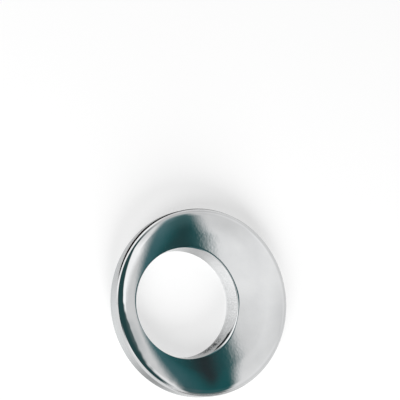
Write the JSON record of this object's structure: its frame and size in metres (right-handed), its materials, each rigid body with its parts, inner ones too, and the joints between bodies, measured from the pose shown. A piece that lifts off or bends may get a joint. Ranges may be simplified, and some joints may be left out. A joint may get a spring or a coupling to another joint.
{
  "type": "offset washer",
  "caption": "Round chrome-plated washer with an off-centre bore, which sets a bolt or axle to one side of the plate and spreads its clamping load.",
  "frame": {"origin": "on the bore's axis, in the plane of the back face", "axes": "+Z along the bore, out of the polished front face; +X from the bore's axis to the wide side of the plate"},
  "size_m": [0.03, 0.03, 0.0034],
  "materials": {
    "chrome_plate": "polished"
  },
  "bodies": {
    "root": {"washer": "chrome_plate"}
  },
  "joints": []
}
